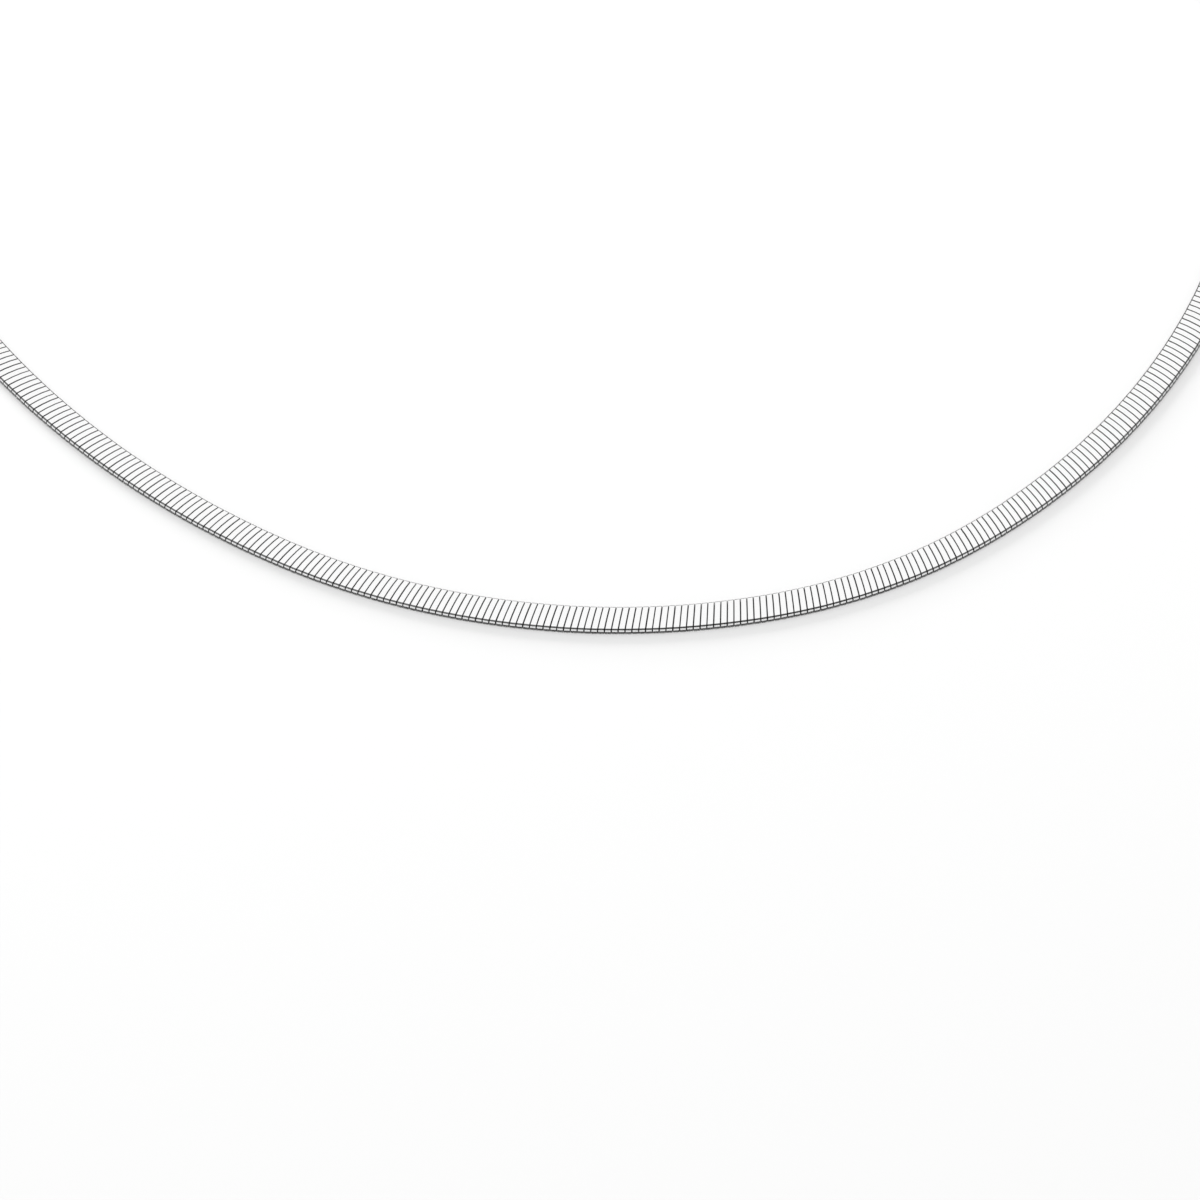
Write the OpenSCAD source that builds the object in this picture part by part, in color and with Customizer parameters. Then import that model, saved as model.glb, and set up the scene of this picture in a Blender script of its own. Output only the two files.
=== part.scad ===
// Omega necklace: a flat, semi-rigid collar of domed metal plates. Each plate is bent
// round a woven ribbon like a staple, edge to edge with the next. The closed necklace lies
// on a flat surface with its plates facing up: x is to the right, y is towards the clasp
// at the back, z is up, and z = 0 is the surface. The origin is below the loop's middle.
// All lengths are in millimetres.

/* [Loop] */
// Length once round the closed necklace, clasp included
loop_length = 406.4; // [380:0.1:470]

/* [Plates] */
// Width of a plate across the band
plate_w = 3.0; // [2.6:0.1:4]
// Height of the band from its back to the crown of its dome
plate_h = 0.75; // [0.65:0.05:1]
// Spacing of the plates along the band
plate_pitch = 0.65; // [0.6:0.01:1.2]
// Clear gap between neighbouring plates
plate_gap = 0.12; // [0.1:0.01:0.2]
// Angle by which every plate leans along the band
plate_lean = 9.5; // [0:0.5:12]
// Thickness of the sheet that a plate is bent from
sheet_t = 0.16; // [0.12:0.01:0.2]
// Rise of the dome from its shoulders to its crown
dome_rise = 0.12; // [0.06:0.01:0.2]
// Bevel where the dome turns down into the side wall
shoulder_bevel = 0.15; // [0.05:0.01:0.2]
// How far each side is folded under the ribbon
flange_w = 0.6; // [0.4:0.05:0.9]

/* [Woven ribbon] */
// Play between the ribbon and whatever holds it, on each side of it
ribbon_play = 0.05; // [0.03:0.01:0.06]

/* [Clasp and end caps] */
// Length of the clasp's body
clasp_l = 9; // [7:0.5:14]
// How much wider the clasp is than an end cap
clasp_extra_w = 0.9; // [0.3:0.1:2]
// How much higher the clasp is than an end cap
clasp_extra_h = 0.6; // [0.2:0.05:1]
// Thickness of the clasp's floor below the tongues
clasp_floor = 0.3; // [0.15:0.05:0.4]
// Radius of the clasp's corners, seen from above
clasp_corner = 0.9; // [0.4:0.1:1.4]
// Bevel round the clasp's top
clasp_bevel = 0.25; // [0.1:0.05:0.35]
// Length of an end cap
cap_l = 4; // [3:0.5:6]
// How much wider an end cap is than a plate
cap_extra_w = 0.3; // [0.1:0.1:0.6]
// How much higher an end cap is than a plate
cap_extra_h = 0.15; // [0.05:0.05:0.4]
// How deep the ribbon goes into its cap
ribbon_depth = 2.8; // [1.5:0.1:2.8]
// Length of the tongue that each cap pushes into the clasp
tongue_l = 2.2; // [1.5:0.1:3]
// Width of the tongue
tongue_w = 2.2; // [1.5:0.1:2.6]
// Thickness of the tongue
tongue_t = 0.4; // [0.3:0.05:0.5]
// Gap between pieces that stand end to end, and play round the tongue
seam = 0.05; // [0.03:0.01:0.1]

/* [Hidden] */

SILVER = [0.86, 0.87, 0.88];
RIBBON_SILVER = [0.62, 0.63, 0.65];
// Facets in a full turn, where a round surface is drawn with facets
SMOOTH = 360;

// The front stretch of the loop as bends, from its left end to its right end.
// TURN is the bend's angle and SHARE its radius as a share of the tightest bend's radius.
TURN = 0;
SHARE = 1;
FRONT_BENDS = [
    [25.2, 1.64],
    [42.2, 1.26],
    [24.0, 1.00],
    [32.0, 1.27],
];
// Angle through which the loop turns between the clasp and the front stretch, on the left
LEFT_TURN = 125.4;
CLASP_HEADING = 180;

// A point is [x, y] and a pose is [x, y, heading].
X = 0;
Y = 1;
HEADING = 2;

function sum(values, i = 0) = i == len(values) ? 0 : values[i] + sum(values, i + 1);
function unit_chord(heading, turn) =
    [sin(heading + turn) - sin(heading), cos(heading) - cos(heading + turn)];
function arc_length(radius, turn) = radius * turn * PI / 180;

// The straight stretch at the back: the clasp with an end cap on each side.
closure_l = clasp_l + 2 * (cap_l + seam);
front_turn = sum([for (bend = FRONT_BENDS) bend[TURN]]);
right_turn = 360 - LEFT_TURN - front_turn;
front_heading = CLASP_HEADING + LEFT_TURN;
right_heading = front_heading + front_turn;

// The loop closes on itself at its given length only with one tightest radius, one radius
// at the back left and one at the back right. Each vector below holds what a radius of 1
// adds to the loop in x, in y and in length; loop_left is what all three have to add.
front_headings = [for (i = [0:len(FRONT_BENDS) - 1])
    front_heading + sum([for (j = [0:1:i - 1]) FRONT_BENDS[j][TURN]])];
front_chord = sum([for (i = [0:len(FRONT_BENDS) - 1])
    FRONT_BENDS[i][SHARE] * unit_chord(front_headings[i], FRONT_BENDS[i][TURN])[X]]);
front_rise = sum([for (i = [0:len(FRONT_BENDS) - 1])
    FRONT_BENDS[i][SHARE] * unit_chord(front_headings[i], FRONT_BENDS[i][TURN])[Y]]);
front_adds = [front_chord, front_rise,
    sum([for (bend = FRONT_BENDS) arc_length(bend[SHARE], bend[TURN])])];
left_adds = [each unit_chord(CLASP_HEADING, LEFT_TURN), arc_length(1, LEFT_TURN)];
right_adds = [each unit_chord(right_heading, right_turn), arc_length(1, right_turn)];
loop_left = [closure_l, 0, loop_length - closure_l];
shared_divisor = front_adds * cross(left_adds, right_adds);
tight_r = loop_left * cross(left_adds, right_adds) / shared_divisor;
left_r = loop_left * cross(right_adds, front_adds) / shared_divisor;
right_r = loop_left * cross(front_adds, left_adds) / shared_divisor;

// The route of the band's middle, from the clasp's middle round the left side, the front
// and the right side, back to the clasp. Each leg is [length, radius, turn]; a straight
// leg has no radius.
LENGTH = 0;
RADIUS = 1;
LEG_TURN = 2;
legs = [
    [closure_l / 2, 0, 0],
    [arc_length(left_r, LEFT_TURN), left_r, LEFT_TURN],
    for (bend = FRONT_BENDS)
        [arc_length(tight_r * bend[SHARE], bend[TURN]), tight_r * bend[SHARE], bend[TURN]],
    [arc_length(right_r, right_turn), right_r, right_turn],
    [closure_l / 2, 0, 0],
];
LEFT_LEG = 1;
FIRST_FRONT_LEG = 2;
RIGHT_LEG = len(legs) - 2;

// The pose that a leg reaches from a pose, some way along, and the pose anywhere on the route
function step(pose, radius, turn, along) =
    radius == 0
        ? pose + [along * cos(pose[HEADING]), along * sin(pose[HEADING]), 0]
        : pose + [each radius * unit_chord(pose[HEADING], turn), turn];
function whole_leg(pose, leg) = step(pose, leg[RADIUS], leg[LEG_TURN], leg[LENGTH]);
function leg_pose(i) = i == 0 ? [0, 0, CLASP_HEADING] : whole_leg(leg_pose(i - 1), legs[i - 1]);
leg_poses = [for (i = [0:len(legs) - 1]) leg_pose(i)];
function leg_start(i) = sum([for (j = [0:1:i - 1]) legs[j][LENGTH]]);
leg_starts = [for (i = [0:len(legs) - 1]) leg_start(i)];
function leg_at(s) = max([for (i = [0:len(legs) - 1]) if (i == 0 || leg_starts[i] <= s) i]);
function pose_in(i, along) = step(leg_poses[i], legs[i][RADIUS],
    legs[i][LEG_TURN] * along / legs[i][LENGTH], along);
function pose_at(s) = pose_in(leg_at(s), s - leg_starts[leg_at(s)]);

// The end caps are a little larger than the plates, and the clasp than the caps.
cap_w = plate_w + cap_extra_w;
cap_h = plate_h + cap_extra_h;
clasp_w = cap_w + clasp_extra_w;
clasp_h = cap_h + clasp_extra_h;

// The origin lies below the middle of the space that the necklace takes up. The loop is
// farthest to the left, to the front and to the right where it heads to the front, to the
// right and to the back.
TO_FRONT = 270;
TO_RIGHT = 360;
TO_BACK = 450;
NEAREST_BEND = FIRST_FRONT_LEG + 1;
function pose_heading(i, heading) =
    step(leg_poses[i], legs[i][RADIUS], heading - leg_poses[i][HEADING], 0);
leftmost = pose_heading(LEFT_LEG, TO_FRONT)[X] - plate_w / 2;
nearest = pose_heading(NEAREST_BEND, TO_RIGHT)[Y] - plate_w / 2;
rightmost = pose_heading(RIGHT_LEG, TO_BACK)[X] + plate_w / 2;
farthest = clasp_w / 2;
middle = [(leftmost + rightmost) / 2, (nearest + farthest) / 2];

// Sets what it holds, modelled round the origin with x along the band and y to the
// inside of the loop, at a pose of the route.
module at(pose) {
    translate([pose[X] - middle[X], pose[Y] - middle[Y], 0])
        rotate([0, 0, pose[HEADING]])
            children();
}

// Sweeps a section, with x across the band and y up, along one bend of the route, from one
// distance along that bend to another.
module sweep_bend(i, from, to) {
    radius = legs[i][RADIUS];
    turn_per_mm = legs[i][LEG_TURN] / legs[i][LENGTH];
    at(leg_poses[i])
        translate([0, radius, 0])
            rotate([0, 0, from * turn_per_mm - 90])
                rotate_extrude(angle = (to - from) * turn_per_mm, $fn = SMOOTH)
                    translate([radius, 0])
                        children();
}

// A plate's section, with x across the band and y up: a domed top with bevelled
// shoulders, two side walls and the two flanges folded under the ribbon.
dome_half_w = plate_w / 2 - shoulder_bevel;
dome_r = (pow(dome_half_w, 2) + pow(dome_rise, 2)) / (2 * dome_rise);
shoulder_h = plate_h - dome_rise;
cavity_w = plate_w - 2 * sheet_t;
cavity_h = shoulder_h - 2 * sheet_t;
above_dome = 2 * dome_rise;

module plate_section() {
    difference() {
        intersection() {
            translate([0, plate_h - dome_r])
                circle(r = dome_r, $fn = SMOOTH);
            polygon([
                [-plate_w / 2, 0],
                [plate_w / 2, 0],
                [plate_w / 2, shoulder_h - shoulder_bevel],
                [dome_half_w - above_dome, shoulder_h + above_dome],
                [above_dome - dome_half_w, shoulder_h + above_dome],
                [-plate_w / 2, shoulder_h - shoulder_bevel],
            ]);
        }
        translate([-cavity_w / 2, sheet_t])
            square([cavity_w, cavity_h]);
        translate([-plate_w / 2 + flange_w, -sheet_t])
            square([plate_w - 2 * flange_w, 2 * sheet_t + cavity_h / 2]);
    }
}

// The plates of the front stretch, each a loose solid that stands clear of the next. A
// plate's sides run along the band, and its ends lean.
front_l = sum([for (i = [0:len(FRONT_BENDS) - 1]) legs[FIRST_FRONT_LEG + i][LENGTH]]);
front_start = leg_starts[FIRST_FRONT_LEG];
front_count = round(front_l / plate_pitch);
front_pitch = front_l / front_count;
plate_l = front_pitch - plate_gap / cos(plate_lean);

function plan_corner(end, side) =
    [end * plate_l / 2 + side * plate_w * tan(plate_lean), side * plate_w];

module plate() {
    intersection() {
        rotate([90, 0, 90])
            linear_extrude(height = 2 * plate_w, center = true)
                plate_section();
        linear_extrude(height = 2 * plate_h)
            polygon([plan_corner(-1, -1), plan_corner(1, -1), plan_corner(1, 1),
                plan_corner(-1, 1)]);
    }
}

module front_plates() {
    color(SILVER)
        for (i = [0:front_count - 1])
            at(pose_at(front_start + (i + 0.5) * front_pitch))
                plate();
}

// The stretch behind the front on each side, as one band of the plates' section. It
// stops short of the leaning plate at one end and of the end cap at the other.
lean_reach = plate_w / 2 * tan(plate_lean) + plate_gap / 2;

module back_band() {
    color(SILVER) {
        sweep_bend(LEFT_LEG, seam, legs[LEFT_LEG][LENGTH] - lean_reach)
            plate_section();
        sweep_bend(RIGHT_LEG, lean_reach, legs[RIGHT_LEG][LENGTH] - seam)
            plate_section();
    }
}

// The woven ribbon that carries the plates, from inside one end cap to inside the other.
ribbon_w = cavity_w - 2 * ribbon_play;
ribbon_t = cavity_h - 2 * ribbon_play;
ribbon_z = sheet_t + ribbon_play;
cap_start = clasp_l / 2 + seam;
ribbon_start = cap_start + cap_l - ribbon_depth + seam;
ribbon_l = loop_length - 2 * ribbon_start;
// Longest straight stretch of the ribbon's outline, short enough to keep its play
RIBBON_STEP = 2.5;
ribbon_steps = ceil(ribbon_l / RIBBON_STEP);
ribbon_poses = [for (i = [0:ribbon_steps]) pose_at(ribbon_start + i * ribbon_l / ribbon_steps)];

// A point beside a pose: side is its distance to the inside of the loop.
function beside(pose, side) = [
    pose[X] - middle[X] - side * sin(pose[HEADING]),
    pose[Y] - middle[Y] + side * cos(pose[HEADING]),
];

module woven_ribbon() {
    color(RIBBON_SILVER)
        translate([0, 0, ribbon_z])
            linear_extrude(height = ribbon_t)
                polygon([
                    for (pose = ribbon_poses) beside(pose, -ribbon_w / 2),
                    for (i = [ribbon_steps:-1:0]) beside(ribbon_poses[i], ribbon_w / 2),
                ]);
}

// An end cap: a flat block in line with the band, with a slot for the ribbon at one end
// and a tongue for the clasp at the other. It is modelled with its slot towards +x.
cap_bevel = shoulder_bevel;
tongue_z = clasp_floor + seam;

module bevelled_block(l, w, h, bevel) {
    intersection() {
        translate([-l / 2, -w / 2, 0])
            cube([l, w, h]);
        rotate([90, 0, 90])
            linear_extrude(height = 2 * l, center = true)
                polygon([[-w / 2, 0], [w / 2, 0], [w / 2, h - bevel], [w / 2 - bevel, h],
                    [bevel - w / 2, h], [-w / 2, h - bevel]]);
    }
}

module end_cap() {
    difference() {
        union() {
            bevelled_block(cap_l, cap_w, cap_h, cap_bevel);
            translate([-cap_l / 2 - tongue_l, -tongue_w / 2, tongue_z])
                cube([tongue_l + cap_l / 2, tongue_w, tongue_t]);
        }
        translate([cap_l / 2 - ribbon_depth, -ribbon_w / 2 - ribbon_play, ribbon_z - ribbon_play])
            cube([ribbon_depth + cap_l, ribbon_w + 2 * ribbon_play, ribbon_t + 2 * ribbon_play]);
    }
}

module end_cap_left() {
    color(SILVER)
        at(pose_at(cap_start + cap_l / 2))
            end_cap();
}

module end_cap_right() {
    color(SILVER)
        at(pose_at(loop_length - cap_start - cap_l / 2))
            rotate([0, 0, 180])
                end_cap();
}

// The clasp: one plain box with round corners, open at both ends for the tongues.
module rounded_plan(l, w, corner) {
    square([l, w - 2 * corner], center = true);
    square([l - 2 * corner, w], center = true);
    for (x = [-1, 1], y = [-1, 1])
        translate([x * (l / 2 - corner), y * (w / 2 - corner)])
            circle(r = corner, $fn = SMOOTH / 8);
}

module clasp() {
    color(SILVER)
        at(pose_at(0))
            difference() {
                intersection() {
                    linear_extrude(height = clasp_h)
                        rounded_plan(clasp_l, clasp_w, clasp_corner);
                    bevelled_block(2 * clasp_l, clasp_w, clasp_h, clasp_bevel);
                }
                for (side = [-1, 1])
                    translate([side * (clasp_l - tongue_l) / 2, 0, tongue_z + tongue_t / 2])
                        cube([tongue_l + 2 * seam, tongue_w + 2 * seam, tongue_t + 2 * seam],
                            center = true);
            }
}

front_plates();
back_band();
woven_ribbon();
end_cap_left();
end_cap_right();
clasp();
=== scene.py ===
import math
import random

import bmesh
import bpy
from mathutils import Matrix, Vector


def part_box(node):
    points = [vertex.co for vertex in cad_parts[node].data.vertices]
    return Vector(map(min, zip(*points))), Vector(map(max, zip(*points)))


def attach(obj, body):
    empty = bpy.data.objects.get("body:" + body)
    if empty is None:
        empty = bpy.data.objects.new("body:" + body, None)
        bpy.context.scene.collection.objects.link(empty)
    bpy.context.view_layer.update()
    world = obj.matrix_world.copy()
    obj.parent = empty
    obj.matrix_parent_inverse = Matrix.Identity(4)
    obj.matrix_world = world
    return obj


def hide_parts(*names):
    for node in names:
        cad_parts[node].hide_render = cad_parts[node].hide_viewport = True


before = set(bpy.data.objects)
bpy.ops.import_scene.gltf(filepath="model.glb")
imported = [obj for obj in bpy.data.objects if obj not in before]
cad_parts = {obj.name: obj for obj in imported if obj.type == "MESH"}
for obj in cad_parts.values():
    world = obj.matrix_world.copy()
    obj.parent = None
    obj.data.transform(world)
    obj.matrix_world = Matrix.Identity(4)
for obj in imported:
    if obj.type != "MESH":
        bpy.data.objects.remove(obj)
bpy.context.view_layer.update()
bpy.ops.object.select_all(action="DESELECT")


# The band's route: the curve that the collar is set to, from the middle of the clasp round
# the left side, the front and the right side, back to the clasp. Bends of one radius each
# follow one another, and the loop closes at its full length. Sizes are in millimetres.
MM = 0.001
LOOP_LENGTH = 406.4
CLASP_LENGTH = 9.0
CAP_LENGTH = 4.0
SEAM = 0.05
FRONT_BENDS = [(25.2, 1.64), (42.2, 1.26), (24.0, 1.00), (32.0, 1.27)]
LEFT_TURN = 125.4
CLASP_HEADING = 180.0
STRAIGHT_HALF = CLASP_LENGTH / 2 + SEAM + CAP_LENGTH


def unit_chord(heading, turn):
    """What a bend of radius 1 adds to the route in x, in y and in length."""
    start, end = math.radians(heading), math.radians(heading + turn)
    return Vector((math.sin(end) - math.sin(start), math.cos(start) - math.cos(end), end - start))


def route_legs():
    """The route as (length, radius, turn) of each leg, a straight one with no radius."""
    heading = CLASP_HEADING + LEFT_TURN
    front = Vector((0, 0, 0))
    for turn, share in FRONT_BENDS:
        front += share * unit_chord(heading, turn)
        heading += turn
    right_turn = CLASP_HEADING + 360 - heading
    left = unit_chord(CLASP_HEADING, LEFT_TURN)
    right = unit_chord(heading, right_turn)
    open_part = Vector((2 * STRAIGHT_HALF, 0, LOOP_LENGTH - 2 * STRAIGHT_HALF))
    adds = Matrix((front, left, right)).transposed()
    tightest, left_r, right_r = adds.inverted() @ open_part
    bends = [(left_r, LEFT_TURN)]
    bends += [(tightest * share, turn) for turn, share in FRONT_BENDS]
    bends += [(right_r, right_turn)]
    legs = [(radius * math.radians(turn), radius, turn) for radius, turn in bends]
    return [(STRAIGHT_HALF, 0, 0)] + legs + [(STRAIGHT_HALF, 0, 0)]


LEGS = route_legs()
MAX_TURN = 32.0
ROUTE_STEPS = 32
clasp_low, clasp_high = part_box("clasp")
clasp_middle = (clasp_low + clasp_high) / 2 / MM


def route_points():
    """Points of the route with their headings, and the handle length between each two."""
    place = Vector((clasp_middle.x, clasp_middle.y, 0))
    heading = CLASP_HEADING
    points, handles = [(place.copy(), heading)], []
    for length, radius, turn in LEGS:
        pieces = max(1, math.ceil(turn / MAX_TURN))
        for _ in range(pieces):
            if radius:
                step = unit_chord(heading, turn / pieces) * radius
                handles.append(4 / 3 * math.tan(math.radians(turn / pieces) / 4) * radius)
                place += Vector((step.x, step.y, 0))
                heading += turn / pieces
            else:
                angle = math.radians(heading)
                handles.append(length / 3)
                place += Vector((math.cos(angle), math.sin(angle), 0)) * length
            points.append((place.copy(), heading))
    return points, handles


def make_route():
    points, handles = route_points()
    curve = bpy.data.curves.new("band_route", "CURVE")
    curve.dimensions = "3D"
    curve.twist_mode = "Z_UP"
    curve.resolution_u = ROUTE_STEPS
    spline = curve.splines.new("BEZIER")
    spline.bezier_points.add(len(points) - 1)
    for i, (place, heading) in enumerate(points):
        ahead = Vector((math.cos(math.radians(heading)), math.sin(math.radians(heading)), 0))
        knot = spline.bezier_points[i]
        knot.co = place
        knot.handle_left = place - ahead * handles[max(i - 1, 0)]
        knot.handle_right = place + ahead * handles[min(i, len(handles) - 1)]
    route = bpy.data.objects.new("band_route", curve)
    bpy.context.scene.collection.objects.link(route)
    return route


band_route = make_route()


# The woven ribbon: fine silver wire woven to a flat strip, on which the plates are strung.
# It runs through the whole band, and its ends are held in the end caps. It shows between
# the plates' flanges, seen from below.
RIBBON_WIDTH = 2.5
RIBBON_LOW = 0.21
RIBBON_HEIGHT = 0.21
RIBBON_DEPTH = 2.7
WEAVE_STEP = 0.65
WIRE = 0.07
WIRE_SIDES = 6
WIRE_SLANT = math.radians(40)
WIRE_PLACES = (-0.25, 0.25)
PATCHES = 900
PATCH_DETAIL = 3
NOISE_LOW = 0.3
NOISE_HIGH = 0.7
SCRATCHES = 6000
SCRATCH_DETAIL = 2
SCRATCH_HEIGHT = 0.00001
hand = random.Random(7)


def apply_modifiers(mesh_object):
    bpy.context.view_layer.objects.active = mesh_object
    for modifier in list(mesh_object.modifiers):
        bpy.ops.object.modifier_apply(modifier=modifier.name)


def join(parts, name):
    bpy.ops.object.select_all(action="DESELECT")
    for part in parts:
        part.select_set(True)
    bpy.context.view_layer.objects.active = parts[0]
    bpy.ops.object.join()
    bpy.ops.object.transform_apply(location=True, rotation=True, scale=True)
    parts[0].name = name
    return parts[0]


def lay_along_band(unit, name, start, end, spacing, play=0):
    """Repeats a unit along a stretch of the band's route, in millimetres from its start.

    Play is how far each one may sit from its exact place, since they are set by hand.
    """
    count = round((end - start) / spacing)
    pitch = (end - start) / count
    row = unit.copy()
    row.data = unit.data.copy()
    row.name = name
    bpy.context.scene.collection.objects.link(row)
    row.data.transform(Matrix.Translation((start + pitch / 2, 0, 0)))
    repeat = row.modifiers.new("repeat", "ARRAY")
    repeat.count = count
    repeat.use_relative_offset = False
    repeat.use_constant_offset = True
    repeat.constant_offset_displace = (pitch, 0, 0)
    apply_modifiers(row)
    size = len(unit.data.vertices)
    for i in range(count):
        shift = Vector((hand.uniform(-play, play), hand.uniform(-play, play), 0))
        for vert in row.data.vertices[i * size:(i + 1) * size]:
            vert.co += shift
    follow = row.modifiers.new("follow", "CURVE")
    follow.object = band_route
    follow.deform_axis = "POS_X"
    apply_modifiers(row)
    return row


def finish_piece(mesh_object, material, slot, *nodes):
    """Brings a piece from millimetres to metres, gives it its metal and hides the CAD nodes it
    stands in for. The slot is not used.
    """
    mesh_object.data.transform(Matrix.Scale(MM, 4))
    mesh_object.data.materials.clear()
    mesh_object.data.materials.append(material)
    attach(mesh_object, "root")
    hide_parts(*nodes)


def silver(name, colour, roughness, mottling, scratch_depth):
    """Silver whose gloss varies softly, crossed by hairline scratches."""
    material = bpy.data.materials.new(name)
    material.use_nodes = True
    nodes, links = material.node_tree.nodes, material.node_tree.links
    shader = nodes["Principled BSDF"]
    shader.inputs["Base Color"].default_value = (*colour, 1)
    shader.inputs["Metallic"].default_value = 1
    place = nodes.new("ShaderNodeTexCoord")
    patches = nodes.new("ShaderNodeTexNoise")
    patches.inputs["Scale"].default_value = PATCHES
    patches.inputs["Detail"].default_value = PATCH_DETAIL
    gloss = nodes.new("ShaderNodeMapRange")
    gloss.name = "Gloss"
    gloss.inputs["From Min"].default_value = NOISE_LOW
    gloss.inputs["From Max"].default_value = NOISE_HIGH
    gloss.inputs["To Min"].default_value = roughness
    gloss.inputs["To Max"].default_value = roughness + mottling
    scratches = nodes.new("ShaderNodeTexNoise")
    scratches.inputs["Scale"].default_value = SCRATCHES
    scratches.inputs["Detail"].default_value = SCRATCH_DETAIL
    bump = nodes.new("ShaderNodeBump")
    bump.inputs["Strength"].default_value = scratch_depth
    bump.inputs["Distance"].default_value = SCRATCH_HEIGHT
    links.new(place.outputs["Object"], patches.inputs["Vector"])
    links.new(place.outputs["Object"], scratches.inputs["Vector"])
    links.new(patches.outputs["Fac"], gloss.inputs["Value"])
    links.new(gloss.outputs["Result"], shader.inputs["Roughness"])
    links.new(scratches.outputs["Fac"], bump.inputs["Height"])
    links.new(bump.outputs["Normal"], shader.inputs["Normal"])
    return material


def make_weave():
    """One step of the weave: a thin core with slanting wires above and below."""
    core_height = RIBBON_HEIGHT - 2 * WIRE
    middle = RIBBON_LOW + RIBBON_HEIGHT / 2
    bpy.ops.mesh.primitive_cube_add(size=1, location=(0, 0, middle))
    core = bpy.context.object
    core.scale = (WEAVE_STEP, RIBBON_WIDTH - WIRE, core_height)
    parts = [core]
    for level in (-1, 1):
        for side in (-1, 1):
            for place in WIRE_PLACES:
                bpy.ops.mesh.primitive_cylinder_add(
                    vertices=WIRE_SIDES,
                    radius=WIRE,
                    depth=(RIBBON_WIDTH / 2 - WIRE) / math.cos(WIRE_SLANT),
                    location=(
                        place * WEAVE_STEP,
                        side * RIBBON_WIDTH / 4,
                        middle + level * core_height / 2,
                    ),
                    rotation=(math.pi / 2, 0, side * level * WIRE_SLANT),
                )
                parts.append(bpy.context.object)
    return join(parts, "weave")


woven_silver = silver(
    "woven_silver", (0.72, 0.72, 0.72), roughness=0.28, mottling=0.15, scratch_depth=0.3
)
weave = make_weave()
ribbon_start = STRAIGHT_HALF - RIBBON_DEPTH
ribbon = lay_along_band(
    weave, "ribbon_weave", ribbon_start, LOOP_LENGTH - ribbon_start, WEAVE_STEP
)
finish_piece(ribbon, woven_silver, "woven_ribbon", "woven_ribbon")
bpy.data.objects.remove(weave)


# The plates: sheet silver stamped to a shallow dome and folded down and under at both
# sides, like a staple, then polished. They lean, sit edge to edge on the woven ribbon and
# grip it with their folded flanges. One is modelled and repeated all along the band.
PLATE_WIDTH = 2.98
PLATE_HEIGHT = 0.75
PLATE_PITCH = 0.65
PLATE_GAP = 0.02
PLATE_LEAN = math.tan(math.radians(9.5))
SHEET = 0.16
DOME_RISE = 0.12
DOME_STRIPS = 3
SHOULDER = 0.16
SHOULDER_STRIPS = 3
FLANGE = 0.6
FOLD = 0.28
FOLD_STRIPS = 2
PLATE_EDGE = 0.058
PLATE_PLAY = 0.009
# How dark each painted mark is: painted shade on the rounded ends in the gaps, a painted contact
# shadow along the lower fold, a painted dark reflection on the shoulders and painted shade on the
# underside. Then the near-black colour and the roughness that the marks mix towards.
PAINTED_GAP_SHADE = 0.89
PAINTED_CONTACT_SHADOW = 1.0
PAINTED_SHOULDER_REFLECTION = 0.85
PAINTED_UNDERSIDE_SHADE = 0.3
SHADE_AND_TARNISH_COLOUR = (0.015, 0.015, 0.015)
SHADE_AND_TARNISH_ROUGHNESS = 0.3
PLATE_SMOOTHING = math.radians(32)
CLOSE = 1e-4

# How far a normal points along x or z where a face is counted as one of these
PLATE_END = 0.9
ROUNDED_END = 0.3
INNER_FACE = 0.5
UNDERSIDE = 0.7
SHOULDER_TOP = 0.4


def select_edges(mesh_object, wanted):
    """In edit mode, selects just the edges whose two ends both pass the test."""
    bpy.ops.mesh.select_mode(type="EDGE")
    bpy.ops.mesh.select_all(action="DESELECT")
    mesh = bmesh.from_edit_mesh(mesh_object.data)
    for edge in mesh.edges:
        edge.select_set(all(wanted(vert.co) for vert in edge.verts))
    bpy.ops.mesh.select_mode(type="EDGE")


def extrude(*move):
    """In edit mode, draws the selected edges or faces out along one vector."""
    bpy.ops.mesh.extrude_region_move(TRANSFORM_OT_translate={"value": move})


def paint_shade_and_tarnish(plate):
    """Marks the faces painted dark: shade in the gaps, inside and under the plate, with some
    tarnish in the hollow, a contact shadow along the folds and a dark reflection line on the
    shoulders.
    """
    tarnish_and_painted_shade = plate.data.attributes.new("tarnish_and_painted_shade", "FLOAT", "FACE")
    for face in plate.data.polygons:
        inside = face.center.z > FOLD and face.normal.z < -INNER_FACE
        on_shoulder = abs(face.center.y) > PLATE_WIDTH / 2 - SHOULDER
        # End faces and the inside of the plate: painted shade in the gaps and under the plate,
        # with some tarnish in the hollow.
        if abs(face.normal.x) > PLATE_END or inside:
            amount = 1.0
        # Rounded ends: painted shade in the gaps between the plates.
        elif abs(face.normal.x) > ROUNDED_END:
            amount = PAINTED_GAP_SHADE
        # Faces turned down: painted shade under the plate.
        elif face.normal.z < -UNDERSIDE:
            amount = PAINTED_UNDERSIDE_SHADE
        # Lower fold: a painted contact shadow along the band's bottom edge.
        elif face.center.z < FOLD:
            amount = PAINTED_CONTACT_SHADOW
        # Shoulders: a painted dark line that stands for the reflection of the dark tent opening.
        elif on_shoulder and face.normal.z > SHOULDER_TOP:
            amount = PAINTED_SHOULDER_REFLECTION
        else:
            amount = 0.0
        tarnish_and_painted_shade.data[face.index].value = amount


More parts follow.
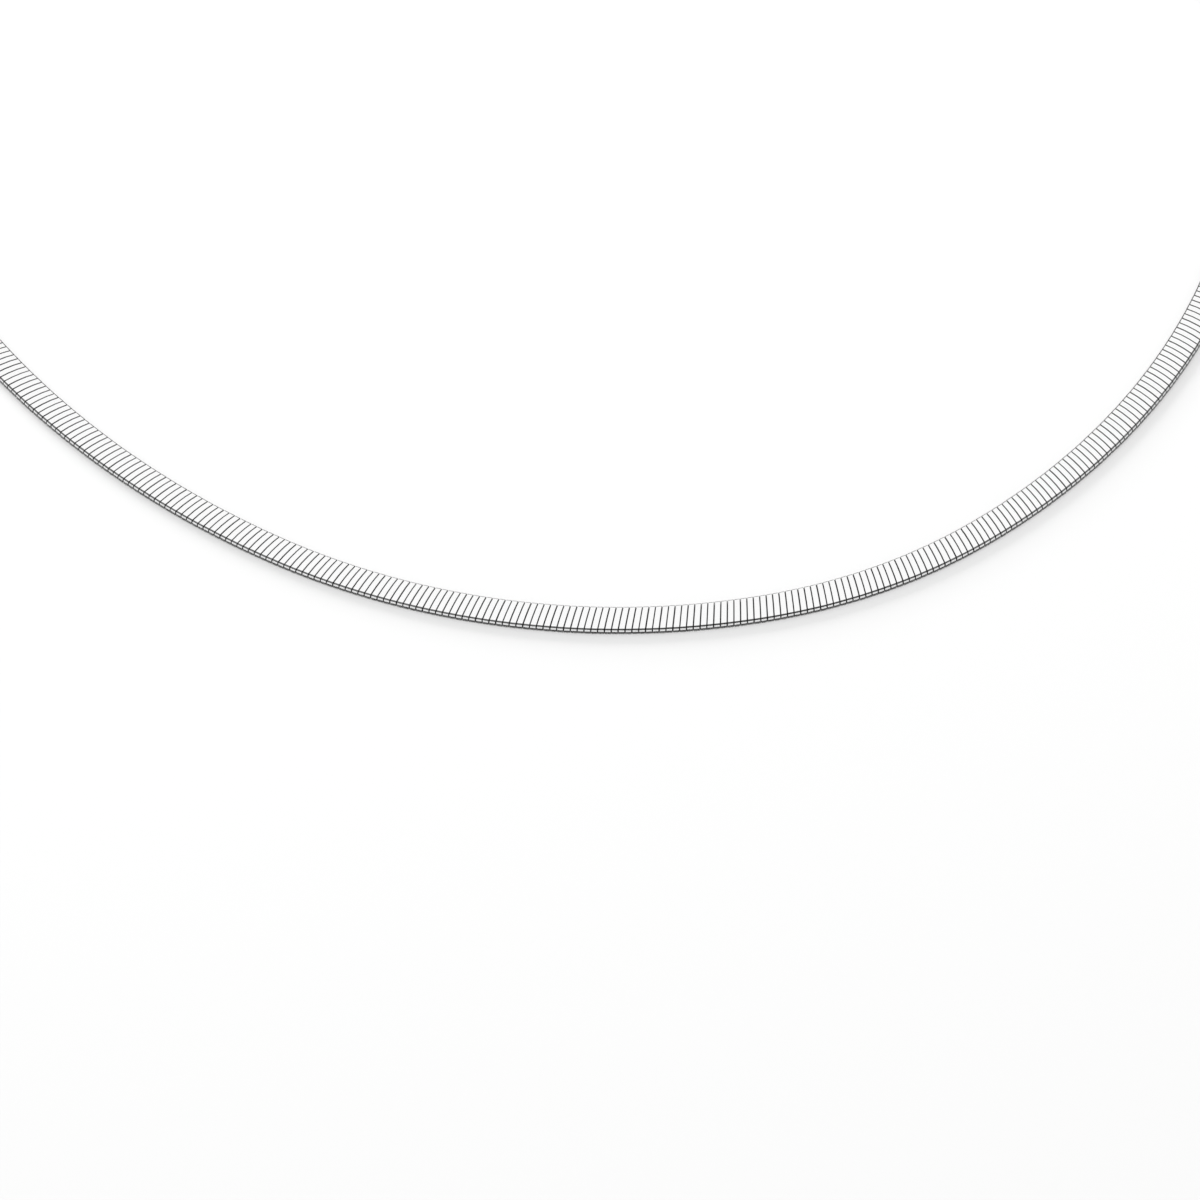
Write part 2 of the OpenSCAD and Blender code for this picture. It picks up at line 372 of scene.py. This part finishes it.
def make_plate():
    """One plate, its length along x, leaning, with its middle over the origin."""
    length = PLATE_PITCH - PLATE_GAP - 2 * PLATE_EDGE
    half_width = PLATE_WIDTH / 2
    dome_half = half_width - SHOULDER
    dome_radius = (dome_half**2 + DOME_RISE**2) / (2 * DOME_RISE)
    dome_middle = PLATE_HEIGHT - dome_radius
    corner_z = dome_middle + math.sqrt(dome_radius**2 - half_width**2)

    # One side wall, the dome over from it, the other wall, and the two flanges
    bpy.ops.mesh.primitive_plane_add(
        size=1, location=(0, -half_width, corner_z / 2), rotation=(math.pi / 2, 0, 0)
    )
    plate = bpy.context.object
    plate.scale = (length, corner_z, 1)
    bpy.ops.object.transform_apply(location=True, rotation=True, scale=True)
    bpy.ops.object.mode_set(mode="EDIT")
    select_edges(plate, lambda co: co.z > corner_z - CLOSE)
    bpy.ops.mesh.spin(
        steps=DOME_STRIPS,
        angle=2 * math.asin(half_width / dome_radius),
        center=(0, 0, dome_middle),
        axis=(1, 0, 0),
    )
    extrude(0, 0, -corner_z)
    extrude(0, -FLANGE, 0)
    select_edges(plate, lambda co: co.z < CLOSE and co.y < CLOSE - half_width)
    extrude(0, FLANGE, 0)
    bpy.ops.mesh.select_all(action="SELECT")
    bpy.ops.mesh.remove_doubles(threshold=CLOSE)
    bpy.ops.mesh.normals_make_consistent(inside=False)
    bpy.ops.object.mode_set(mode="OBJECT")

    sheet = plate.modifiers.new("sheet", "SOLIDIFY")
    sheet.thickness = SHEET
    sheet.offset = -1
    sheet.use_even_offset = True
    apply_modifiers(plate)

    # Polishing rounds the shoulders, the folds and the outer edges at the two ends
    def on_side(co):
        return abs(co.y) > half_width - CLOSE

    def on_outside(co):
        from_dome_middle = math.hypot(co.y, co.z - dome_middle)
        on_dome = abs(from_dome_middle - dome_radius) < CLOSE and abs(co.y) < dome_half + CLOSE
        in_shoulder = abs(co.y) > dome_half and co.z > corner_z - SHOULDER - CLOSE
        in_fold = abs(co.y) > half_width - FOLD + CLOSE and co.z < FOLD
        return on_side(co) or on_dome or in_shoulder or in_fold

    bpy.ops.object.mode_set(mode="EDIT")
    for z, amount, strips in ((corner_z, SHOULDER, SHOULDER_STRIPS), (0, FOLD, FOLD_STRIPS)):
        select_edges(plate, lambda co: on_side(co) and abs(co.z - z) < CLOSE)
        bpy.ops.mesh.bevel(offset=amount, segments=strips, affect="EDGES")
    for end in (-1, 1):
        bpy.ops.mesh.select_mode(type="FACE")
        bpy.ops.mesh.select_all(action="DESELECT")
        for face in bmesh.from_edit_mesh(plate.data).faces:
            face.select_set(face.normal.x * end > PLATE_END)
        extrude(end * PLATE_EDGE, 0, 0)
    select_edges(plate, lambda co: abs(co.x) > length / 2 + CLOSE and on_outside(co))
    bpy.ops.transform.resize(
        value=(1, 1 - PLATE_EDGE / half_width, 1 - PLATE_EDGE / PLATE_HEIGHT),
        center_override=(0, 0, 0),
    )
    bpy.ops.object.mode_set(mode="OBJECT")
    bpy.ops.object.shade_smooth_by_angle(angle=PLATE_SMOOTHING)
    paint_shade_and_tarnish(plate)
    leaning = Matrix.Identity(4)
    leaning[0][1] = PLATE_LEAN
    plate.data.transform(leaning)
    return plate


def plate_silver():
    """Polished silver, darker and duller where the mask paints shade, a dark reflection line and
    some tarnish on the plate.
    """
    material = silver(
        "plate_silver", (0.93, 0.93, 0.93), roughness=0.08, mottling=0.06, scratch_depth=0.05
    )
    nodes, links = material.node_tree.nodes, material.node_tree.links
    shader, gloss = nodes["Principled BSDF"], nodes["Gloss"]
    tarnish_and_painted_shade = nodes.new("ShaderNodeAttribute")
    tarnish_and_painted_shade.attribute_name = "tarnish_and_painted_shade"
    colour = nodes.new("ShaderNodeMix")
    colour.data_type = "RGBA"
    colour.inputs["A"].default_value = shader.inputs["Base Color"].default_value[:]
    colour.inputs["B"].default_value = (*SHADE_AND_TARNISH_COLOUR, 1)
    dulling = nodes.new("ShaderNodeMath")
    dulling.operation = "MULTIPLY_ADD"
    dulling.inputs[1].default_value = SHADE_AND_TARNISH_ROUGHNESS
    links.new(tarnish_and_painted_shade.outputs["Fac"], colour.inputs["Factor"])
    links.new(tarnish_and_painted_shade.outputs["Fac"], dulling.inputs[0])
    links.new(gloss.outputs["Result"], dulling.inputs[2])
    links.new(colour.outputs["Result"], shader.inputs["Base Color"])
    links.new(dulling.outputs["Value"], shader.inputs["Roughness"])
    return material


polished_plates = plate_silver()
plate = make_plate()
lean_reach = PLATE_LEAN * PLATE_WIDTH / 2
starts = [sum(leg[0] for leg in LEGS[:i]) for i in range(len(LEGS))]
front_start, front_end = starts[2], starts[-2]
left_start = starts[1] + SEAM + lean_reach
right_end = starts[-1] - SEAM - lean_reach


def lay_plates(name, start, end):
    return lay_along_band(plate, name, start, end, PLATE_PITCH, PLATE_PLAY)


front_plates = lay_plates("front_plates_polished", front_start, front_end)
finish_piece(front_plates, polished_plates, "polished_plates", "front_plates")
left_plates = lay_plates("left_plates", left_start, front_start)
right_plates = lay_plates("right_plates", front_end, right_end)
back_plates = join([left_plates, right_plates], "back_plates_polished")
finish_piece(back_plates, polished_plates, "polished_plates", "back_band")
bpy.data.objects.remove(plate)
bpy.data.objects.remove(band_route)


# The end caps: one on each end of the band, a flat sleeve of cast silver soldered over the
# ribbon's end, with a tongue on its other side that is pushed into the clasp. Polished.
CAP_WIDTH = 3.3
CAP_HEIGHT = 0.9
CAP_ROUNDING = 0.15
CAP_EDGE = 0.04
EDGE_STRIPS = 2
ROUNDING_STRIPS = 4
SHARP_EDGE = math.radians(60)
BLOCK_SMOOTHING = math.radians(40)
SLOT_WIDTH = 2.68
SLOT_HEIGHT = 0.31
SLOT_DEPTH = 2.8
TONGUE = Vector((2.2, 2.2, 0.4))
TONGUE_LOW = 0.35
PANEL_INSET = 0.02


def make_block(length, width, height):
    bpy.ops.object.select_all(action="DESELECT")
    bpy.ops.mesh.primitive_cube_add(size=1, location=(0, 0, height / 2))
    block = bpy.context.object
    block.scale = (length, width, height)
    bpy.ops.object.transform_apply(location=True, rotation=True, scale=True)
    return block


def panel_on_end(mesh_object, end, width, low, height):
    """In edit mode, marks out a panel on the end face at +x or -x, and leaves it selected."""
    bpy.ops.mesh.select_mode(type="FACE")
    bpy.ops.mesh.select_all(action="DESELECT")
    mesh = bmesh.from_edit_mesh(mesh_object.data)
    outermost = max(face.calc_center_median().x * end for face in mesh.faces)
    for face in mesh.faces:
        face.select_set(face.calc_center_median().x * end > outermost - CLOSE)
    bpy.ops.mesh.inset(thickness=PANEL_INSET)
    corners = [
        vert.co for face in bmesh.from_edit_mesh(mesh_object.data).faces if face.select
        for vert in face.verts
    ]
    across = [co.y for co in corners]
    up = [co.z for co in corners]
    middle_z = (max(up) + min(up)) / 2
    bpy.ops.transform.resize(
        value=(1, width / (max(across) - min(across)), height / (max(up) - min(up))),
        center_override=(end * outermost, 0, middle_z),
    )
    bpy.ops.transform.translate(value=(0, 0, low + height / 2 - middle_z))


def shade_block(mesh_object):
    """Shades the rounded edges smooth and leaves the flat faces flat."""
    bpy.ops.object.shade_smooth_by_angle(angle=BLOCK_SMOOTHING)
    flat_faces = mesh_object.modifiers.new("flat_faces", "WEIGHTED_NORMAL")
    flat_faces.keep_sharp = True
    apply_modifiers(mesh_object)


def make_cap():
    """One end cap, its slot towards +x and its tongue towards -x."""
    cap = make_block(CAP_LENGTH, CAP_WIDTH, CAP_HEIGHT)
    bpy.ops.object.mode_set(mode="EDIT")
    panel_on_end(cap, 1, SLOT_WIDTH, SHEET, SLOT_HEIGHT)
    extrude(-SLOT_DEPTH, 0, 0)
    panel_on_end(cap, -1, TONGUE.y, TONGUE_LOW, TONGUE.z)
    extrude(-TONGUE.x, 0, 0)
    select_edges(cap, lambda co: co.x < -CAP_LENGTH / 2 - TONGUE.x + CLOSE)
    bpy.ops.mesh.bevel(offset=CAP_EDGE, segments=EDGE_STRIPS, affect="EDGES")
    for side in (-1, 1):
        select_edges(
            cap, lambda co: co.z > CAP_HEIGHT - CLOSE and co.y * side > CAP_WIDTH / 2 - CLOSE
        )
        bpy.ops.mesh.bevel(offset=CAP_ROUNDING, segments=ROUNDING_STRIPS, affect="EDGES")
    bpy.ops.object.mode_set(mode="OBJECT")
    softened = cap.modifiers.new("softened", "BEVEL")
    softened.width = CAP_EDGE
    softened.segments = EDGE_STRIPS
    softened.limit_method = "ANGLE"
    softened.angle_limit = SHARP_EDGE
    apply_modifiers(cap)
    shade_block(cap)
    return cap


findings_silver = silver(
    "findings_silver", (0.8, 0.8, 0.8), roughness=0.10, mottling=0.08, scratch_depth=0.05
)
cap_from_clasp = CLASP_LENGTH / 2 + SEAM + CAP_LENGTH / 2
for side, turn in (("left", math.pi), ("right", 0)):
    cap = make_cap()
    cap.name = "end_cap_" + side + "_polished"
    out = Matrix.Rotation(turn, 4, "Z") @ Matrix.Translation((cap_from_clasp, 0, 0))
    cap.data.transform(Matrix.Translation((clasp_middle.x, clasp_middle.y, 0)) @ out)
    finish_piece(cap, findings_silver, "polished_findings", "end_cap_" + side)


# The clasp: a plain flat box of silver, a little wider and higher than the caps, rounded at
# its corners and polished. Each end is open for the tongue of an end cap.
CLASP_WIDTH = 4.2
CLASP_HEIGHT = 1.5
CLASP_CORNER = 0.9
CORNER_STRIPS = 8
CLASP_ROUNDING = 0.25
CLASP_FOOT = 0.08


def make_clasp():
    clasp = make_block(CLASP_LENGTH, CLASP_WIDTH, CLASP_HEIGHT)
    bpy.ops.object.mode_set(mode="EDIT")
    bpy.ops.mesh.select_all(action="DESELECT")
    bpy.ops.mesh.select_mode(type="EDGE")
    for edge in bmesh.from_edit_mesh(clasp.data).edges:
        edge.select_set(abs(edge.verts[0].co.z - edge.verts[1].co.z) > CLOSE)
    bpy.ops.mesh.bevel(offset=CLASP_CORNER, segments=CORNER_STRIPS, affect="EDGES")
    top_edge = (CLASP_HEIGHT, CLASP_ROUNDING, ROUNDING_STRIPS)
    bottom_edge = (0, CLASP_FOOT, EDGE_STRIPS)
    for z, amount, strips in (top_edge, bottom_edge):
        select_edges(clasp, lambda co: abs(co.z - z) < CLOSE)
        bpy.ops.mesh.bevel(offset=amount, segments=strips, affect="EDGES")
    for end in (-1, 1):
        panel_on_end(
            clasp, end, TONGUE.y + 2 * SEAM, TONGUE_LOW - SEAM, TONGUE.z + 2 * SEAM
        )
        extrude(-end * (TONGUE.x + SEAM), 0, 0)
    bpy.ops.object.mode_set(mode="OBJECT")
    shade_block(clasp)
    return clasp


clasp = make_clasp()
clasp.name = "clasp_polished"
clasp.data.transform(Matrix.Translation((clasp_middle.x, clasp_middle.y, 0)))
finish_piece(clasp, findings_silver, "polished_findings", "clasp")


# Setting: a white table in a white photo tent. The tent's opening, round the camera, and its
# foot are dark, so that polished edges show as dark lines. A wide lamp above lights the
# table, and one low at the back left throws the band's shadow to the front.
TABLE_SIZE = 6
TABLE_COLOUR = (0.43, 0.43, 0.43)
TABLE_ROUGHNESS = 0.9
TENT_BRIGHTNESS = 1.04
TENT_DARK = 0.03
TENT_OPENING = Vector((0.25, -0.62, 0.74)).normalized()
OPENING_OUTSIDE = 0.84
OPENING_INSIDE = 0.95
FOOT_LOW = 0.02
FOOT_HIGH = 0.25
LAMP_DISTANCE = 1.2
# Each lamp's name, the direction it stands in, its width in metres and its watts
LAMPS = (
    ("top_lamp", Vector((0, 0, 1)), 0.3, 15.5),
    ("back_lamp", Vector((-0.36, 0.85, 0.27)), 0.45, 25),
)

bpy.ops.mesh.primitive_plane_add(size=TABLE_SIZE, location=(0, 0, 0))
table = bpy.context.object
table.name = "table"
table_white = bpy.data.materials.new("table_white")
table_white.use_nodes = True
table_shader = table_white.node_tree.nodes["Principled BSDF"]
table_shader.inputs["Base Color"].default_value = (*TABLE_COLOUR, 1)
table_shader.inputs["Roughness"].default_value = TABLE_ROUGHNESS
table.data.materials.append(table_white)

for name, toward, size, watts in LAMPS:
    toward = toward.normalized()
    bpy.ops.object.light_add(type="AREA", location=toward * LAMP_DISTANCE)
    lamp = bpy.context.object
    lamp.name = name
    lamp.data.size = size
    lamp.data.energy = watts
    lamp.visible_glossy = False
    lamp.rotation_mode = "QUATERNION"
    lamp.rotation_quaternion = toward.to_track_quat("Z", "Y")

tent = bpy.data.worlds.new("photo_tent")
bpy.context.scene.world = tent
tent.use_nodes = True
tent_nodes, tent_links = tent.node_tree.nodes, tent.node_tree.links
background = tent_nodes["Background"]
background.inputs["Strength"].default_value = TENT_BRIGHTNESS
look = tent_nodes.new("ShaderNodeTexCoord")
toward_opening = tent_nodes.new("ShaderNodeVectorMath")
toward_opening.operation = "DOT_PRODUCT"
toward_opening.inputs[1].default_value = TENT_OPENING
wall = tent_nodes.new("ShaderNodeMapRange")
wall.inputs["From Min"].default_value = OPENING_OUTSIDE
wall.inputs["From Max"].default_value = OPENING_INSIDE
wall.inputs["To Min"].default_value = 1
wall.inputs["To Max"].default_value = TENT_DARK
axes = tent_nodes.new("ShaderNodeSeparateXYZ")
foot = tent_nodes.new("ShaderNodeMapRange")
foot.inputs["From Min"].default_value = FOOT_LOW
foot.inputs["From Max"].default_value = FOOT_HIGH
foot.inputs["To Min"].default_value = TENT_DARK
light = tent_nodes.new("ShaderNodeMath")
light.operation = "MULTIPLY"
tent_links.new(look.outputs["Generated"], toward_opening.inputs[0])
tent_links.new(look.outputs["Generated"], axes.inputs["Vector"])
tent_links.new(toward_opening.outputs["Value"], wall.inputs["Value"])
tent_links.new(axes.outputs["Z"], foot.inputs["Value"])
tent_links.new(wall.outputs["Result"], light.inputs[0])
tent_links.new(foot.outputs["Result"], light.inputs[1])
tent_links.new(light.outputs["Value"], background.inputs["Color"])
bpy.context.scene.view_settings.view_transform = "Standard"


# Camera: a long lens from the front and above, as in the photograph.
CAMERA_DISTANCE = 2.5
CAMERA_ELEVATION = math.radians(50.5)
CAMERA_AIM = Vector((3.18, -59.13, 0)) * MM
FRAME_WIDTH = 0.1165
SENSOR = 36
FARTHEST_SEEN = 10
toward_camera = Vector((0, -math.cos(CAMERA_ELEVATION), math.sin(CAMERA_ELEVATION)))
bpy.ops.object.camera_add(location=CAMERA_AIM + toward_camera * CAMERA_DISTANCE)
camera = bpy.context.object
camera.data.sensor_width = SENSOR
camera.data.lens = SENSOR * CAMERA_DISTANCE / FRAME_WIDTH
camera.data.clip_end = FARTHEST_SEEN
camera.rotation_mode = "QUATERNION"
camera.rotation_quaternion = toward_camera.to_track_quat("Z", "Y")
bpy.context.scene.camera = camera
